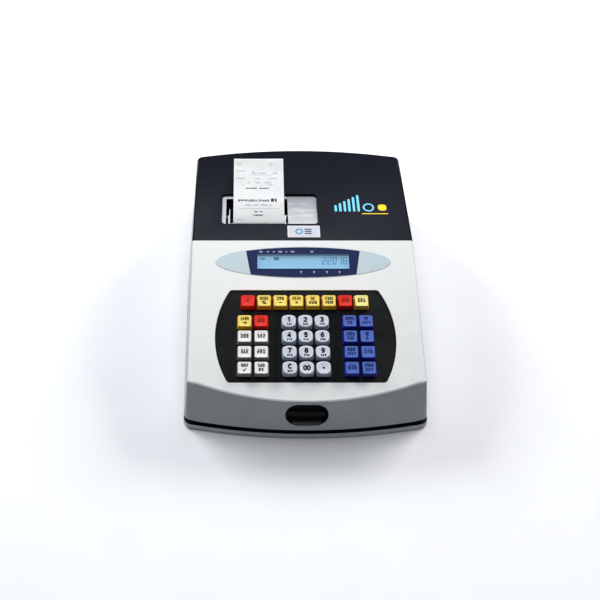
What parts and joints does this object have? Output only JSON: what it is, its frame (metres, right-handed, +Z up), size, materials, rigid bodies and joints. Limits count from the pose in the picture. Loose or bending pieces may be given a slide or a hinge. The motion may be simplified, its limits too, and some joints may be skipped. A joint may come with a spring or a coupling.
{
  "type": "cash register",
  "caption": "Wedge-shaped desktop cash register with a sloping keyboard, an oval display and a receipt printer under a hinged rear cover.",
  "frame": {"origin": "on the desk under the middle of the machine", "axes": "+X to the operator's right, +Y to the rear, +Z up"},
  "size_m": [0.262, 0.347, 0.1006],
  "materials": {
    "case_grey": "fine moulded texture",
    "deck_white": "satin moulded",
    "cover_black": "satin moulded",
    "panel_black": "satin moulded",
    "switch_black": "plain",
    "board_green": "solder mask",
    "bezel_blue": "gloss printed overlay",
    "lcd_glass": "polished",
    "foot_rubber": "matt",
    "sheet_steel": "rolled sheet",
    "head_metal": "milled",
    "roller_rubber": "ground",
    "gear_plastic": "plain",
    "motor_metal": "plated",
    "paper": "thermal paper",
    "key_yellow": "satin moulded",
    "key_pale": "satin moulded",
    "key_red": "satin moulded",
    "key_cream": "satin moulded",
    "key_slate": "satin moulded",
    "key_blue": "satin moulded"
  },
  "bodies": {
    "case": {"base_tray": "case_grey", "rubber_feet": "foot_rubber", "body_shell": "case_grey", "top_deck": "deck_white", "key_panel": "panel_black", "key_switches": "switch_black", "keyboard_pcb": "board_green", "main_board": "board_green", "display_window": "bezel_blue", "lcd_module": "lcd_glass", "front_pull": "panel_black", "case_screws": "sheet_steel", "printer_frame": "sheet_steel", "print_head": "head_metal", "drive_cover": "sheet_steel", "paper_motor": "motor_metal"},
    "rear_cover": {"rear_cover": "cover_black", "tear_bar": "sheet_steel", "receipt": "paper"},
    "platen": {"platen_roller": "roller_rubber"},
    "pinion": {"motor_pinion": "gear_plastic"},
    "paper_roll": {"paper_roll": "paper"},
    "release_lever": {"release_lever": "sheet_steel"},
    "power_switch": {"power_switch": "switch_black"},
    "key_top_1": {"key_top_1": "key_red"},
    "key_top_2": {"key_top_2": "key_yellow"},
    "key_top_3": {"key_top_3": "key_yellow"},
    "key_top_4": {"key_top_4": "key_yellow"},
    "key_top_5": {"key_top_5": "key_yellow"},
    "key_top_6": {"key_top_6": "key_yellow"},
    "key_top_7": {"key_top_7": "key_red"},
    "key_top_8": {"key_top_8": "key_pale"},
    "key_left_1": {"key_left_1": "key_yellow"},
    "key_left_2": {"key_left_2": "key_red"},
    "key_left_3": {"key_left_3": "key_cream"},
    "key_left_4": {"key_left_4": "key_cream"},
    "key_left_5": {"key_left_5": "key_cream"},
    "key_left_6": {"key_left_6": "key_cream"},
    "key_left_7": {"key_left_7": "key_cream"},
    "key_left_8": {"key_left_8": "key_cream"},
    "key_digit_1": {"key_digit_1": "key_slate"},
    "key_digit_2": {"key_digit_2": "key_slate"},
    "key_digit_3": {"key_digit_3": "key_slate"},
    "key_digit_4": {"key_digit_4": "key_slate"},
    "key_digit_5": {"key_digit_5": "key_slate"},
    "key_digit_6": {"key_digit_6": "key_slate"},
    "key_digit_7": {"key_digit_7": "key_slate"},
    "key_digit_8": {"key_digit_8": "key_slate"},
    "key_digit_9": {"key_digit_9": "key_slate"},
    "key_clear": {"key_clear": "key_slate"},
    "key_double_zero": {"key_double_zero": "key_slate"},
    "key_point": {"key_point": "key_slate"},
    "key_right_1": {"key_right_1": "key_blue"},
    "key_right_2": {"key_right_2": "key_blue"},
    "key_right_3": {"key_right_3": "key_blue"},
    "key_right_4": {"key_right_4": "key_blue"},
    "key_right_5": {"key_right_5": "key_blue"},
    "key_right_6": {"key_right_6": "key_blue"},
    "key_right_7": {"key_right_7": "key_blue"},
    "key_right_8": {"key_right_8": "key_blue"}
  },
  "joints": [
    {"name": "cover_hinge", "type": "hinge", "parent": "case", "child": "rear_cover", "pos_m": [0, 0.17031, 0.07317], "axis": [-1, 0, 0], "range_deg": [0, 78]},
    {"name": "platen_spin", "type": "hinge", "parent": "case", "child": "platen", "pos_m": [0, 0.05681, 0.066], "axis": [1, 0, 0], "continuous": true},
    {"name": "pinion_spin", "type": "hinge", "parent": "case", "child": "pinion", "pos_m": [0, 0.06864, 0.05771], "axis": [1, 0, 0], "continuous": true},
    {"name": "roll_spin", "type": "hinge", "parent": "case", "child": "paper_roll", "pos_m": [0, 0.122, 0.05151], "axis": [1, 0, 0], "continuous": true},
    {"name": "lever_tilt", "type": "hinge", "parent": "case", "child": "release_lever", "pos_m": [0, 0.072, 0.068], "axis": [-1, 0, 0], "range_deg": [0, 25]},
    {"name": "switch_rock", "type": "hinge", "parent": "case", "child": "power_switch", "pos_m": [0, 0.1599, 0.022], "axis": [1, 0, 0], "range_deg": [0, 18]},
    {"name": "key_top_1_press", "type": "slide", "parent": "case", "child": "key_top_1", "axis": [0, 0.225, -0.9744], "range_m": [0, 0.0028], "stiffness_N_per_m": 200, "springref_m": -0.001},
    {"name": "key_top_2_press", "type": "slide", "parent": "case", "child": "key_top_2", "axis": [0, 0.225, -0.9744], "range_m": [0, 0.0028], "stiffness_N_per_m": 200, "springref_m": -0.001},
    {"name": "key_top_3_press", "type": "slide", "parent": "case", "child": "key_top_3", "axis": [0, 0.225, -0.9744], "range_m": [0, 0.0028], "stiffness_N_per_m": 200, "springref_m": -0.001},
    {"name": "key_top_4_press", "type": "slide", "parent": "case", "child": "key_top_4", "axis": [0, 0.225, -0.9744], "range_m": [0, 0.0028], "stiffness_N_per_m": 200, "springref_m": -0.001},
    {"name": "key_top_5_press", "type": "slide", "parent": "case", "child": "key_top_5", "axis": [0, 0.225, -0.9744], "range_m": [0, 0.0028], "stiffness_N_per_m": 200, "springref_m": -0.001},
    {"name": "key_top_6_press", "type": "slide", "parent": "case", "child": "key_top_6", "axis": [0, 0.225, -0.9744], "range_m": [0, 0.0028], "stiffness_N_per_m": 200, "springref_m": -0.001},
    {"name": "key_top_7_press", "type": "slide", "parent": "case", "child": "key_top_7", "axis": [0, 0.225, -0.9744], "range_m": [0, 0.0028], "stiffness_N_per_m": 200, "springref_m": -0.001},
    {"name": "key_top_8_press", "type": "slide", "parent": "case", "child": "key_top_8", "axis": [0, 0.225, -0.9744], "range_m": [0, 0.0028], "stiffness_N_per_m": 200, "springref_m": -0.001},
    {"name": "key_left_1_press", "type": "slide", "parent": "case", "child": "key_left_1", "axis": [0, 0.225, -0.9744], "range_m": [0, 0.0028], "stiffness_N_per_m": 200, "springref_m": -0.001},
    {"name": "key_left_2_press", "type": "slide", "parent": "case", "child": "key_left_2", "axis": [0, 0.225, -0.9744], "range_m": [0, 0.0028], "stiffness_N_per_m": 200, "springref_m": -0.001},
    {"name": "key_left_3_press", "type": "slide", "parent": "case", "child": "key_left_3", "axis": [0, 0.225, -0.9744], "range_m": [0, 0.0028], "stiffness_N_per_m": 200, "springref_m": -0.001},
    {"name": "key_left_4_press", "type": "slide", "parent": "case", "child": "key_left_4", "axis": [0, 0.225, -0.9744], "range_m": [0, 0.0028], "stiffness_N_per_m": 200, "springref_m": -0.001},
    {"name": "key_left_5_press", "type": "slide", "parent": "case", "child": "key_left_5", "axis": [0, 0.225, -0.9744], "range_m": [0, 0.0028], "stiffness_N_per_m": 200, "springref_m": -0.001},
    {"name": "key_left_6_press", "type": "slide", "parent": "case", "child": "key_left_6", "axis": [0, 0.225, -0.9744], "range_m": [0, 0.0028], "stiffness_N_per_m": 200, "springref_m": -0.001},
    {"name": "key_left_7_press", "type": "slide", "parent": "case", "child": "key_left_7", "axis": [0, 0.225, -0.9744], "range_m": [0, 0.0028], "stiffness_N_per_m": 200, "springref_m": -0.001},
    {"name": "key_left_8_press", "type": "slide", "parent": "case", "child": "key_left_8", "axis": [0, 0.225, -0.9744], "range_m": [0, 0.0028], "stiffness_N_per_m": 200, "springref_m": -0.001},
    {"name": "key_digit_1_press", "type": "slide", "parent": "case", "child": "key_digit_1", "axis": [0, 0.225, -0.9744], "range_m": [0, 0.0028], "stiffness_N_per_m": 200, "springref_m": -0.001},
    {"name": "key_digit_2_press", "type": "slide", "parent": "case", "child": "key_digit_2", "axis": [0, 0.225, -0.9744], "range_m": [0, 0.0028], "stiffness_N_per_m": 200, "springref_m": -0.001},
    {"name": "key_digit_3_press", "type": "slide", "parent": "case", "child": "key_digit_3", "axis": [0, 0.225, -0.9744], "range_m": [0, 0.0028], "stiffness_N_per_m": 200, "springref_m": -0.001},
    {"name": "key_digit_4_press", "type": "slide", "parent": "case", "child": "key_digit_4", "axis": [0, 0.225, -0.9744], "range_m": [0, 0.0028], "stiffness_N_per_m": 200, "springref_m": -0.001},
    {"name": "key_digit_5_press", "type": "slide", "parent": "case", "child": "key_digit_5", "axis": [0, 0.225, -0.9744], "range_m": [0, 0.0028], "stiffness_N_per_m": 200, "springref_m": -0.001},
    {"name": "key_digit_6_press", "type": "slide", "parent": "case", "child": "key_digit_6", "axis": [0, 0.225, -0.9744], "range_m": [0, 0.0028], "stiffness_N_per_m": 200, "springref_m": -0.001},
    {"name": "key_digit_7_press", "type": "slide", "parent": "case", "child": "key_digit_7", "axis": [0, 0.225, -0.9744], "range_m": [0, 0.0028], "stiffness_N_per_m": 200, "springref_m": -0.001},
    {"name": "key_digit_8_press", "type": "slide", "parent": "case", "child": "key_digit_8", "axis": [0, 0.225, -0.9744], "range_m": [0, 0.0028], "stiffness_N_per_m": 200, "springref_m": -0.001},
    {"name": "key_digit_9_press", "type": "slide", "parent": "case", "child": "key_digit_9", "axis": [0, 0.225, -0.9744], "range_m": [0, 0.0028], "stiffness_N_per_m": 200, "springref_m": -0.001},
    {"name": "key_clear_press", "type": "slide", "parent": "case", "child": "key_clear", "axis": [0, 0.225, -0.9744], "range_m": [0, 0.0028], "stiffness_N_per_m": 200, "springref_m": -0.001},
    {"name": "key_double_zero_press", "type": "slide", "parent": "case", "child": "key_double_zero", "axis": [0, 0.225, -0.9744], "range_m": [0, 0.0028], "stiffness_N_per_m": 200, "springref_m": -0.001},
    {"name": "key_point_press", "type": "slide", "parent": "case", "child": "key_point", "axis": [0, 0.225, -0.9744], "range_m": [0, 0.0028], "stiffness_N_per_m": 200, "springref_m": -0.001},
    {"name": "key_right_1_press", "type": "slide", "parent": "case", "child": "key_right_1", "axis": [0, 0.225, -0.9744], "range_m": [0, 0.0028], "stiffness_N_per_m": 200, "springref_m": -0.001},
    {"name": "key_right_2_press", "type": "slide", "parent": "case", "child": "key_right_2", "axis": [0, 0.225, -0.9744], "range_m": [0, 0.0028], "stiffness_N_per_m": 200, "springref_m": -0.001},
    {"name": "key_right_3_press", "type": "slide", "parent": "case", "child": "key_right_3", "axis": [0, 0.225, -0.9744], "range_m": [0, 0.0028], "stiffness_N_per_m": 200, "springref_m": -0.001},
    {"name": "key_right_4_press", "type": "slide", "parent": "case", "child": "key_right_4", "axis": [0, 0.225, -0.9744], "range_m": [0, 0.0028], "stiffness_N_per_m": 200, "springref_m": -0.001},
    {"name": "key_right_5_press", "type": "slide", "parent": "case", "child": "key_right_5", "axis": [0, 0.225, -0.9744], "range_m": [0, 0.0028], "stiffness_N_per_m": 200, "springref_m": -0.001},
    {"name": "key_right_6_press", "type": "slide", "parent": "case", "child": "key_right_6", "axis": [0, 0.225, -0.9744], "range_m": [0, 0.0028], "stiffness_N_per_m": 200, "springref_m": -0.001},
    {"name": "key_right_7_press", "type": "slide", "parent": "case", "child": "key_right_7", "axis": [0, 0.225, -0.9744], "range_m": [0, 0.0028], "stiffness_N_per_m": 200, "springref_m": -0.001},
    {"name": "key_right_8_press", "type": "slide", "parent": "case", "child": "key_right_8", "axis": [0, 0.225, -0.9744], "range_m": [0, 0.0028], "stiffness_N_per_m": 200, "springref_m": -0.001}
  ],
  "couplings": [
    {"joint": "pinion_spin", "follows": "platen_spin", "ratio": -2},
    {"joint": "roll_spin", "follows": "platen_spin", "ratio": 0.30435}
  ]
}
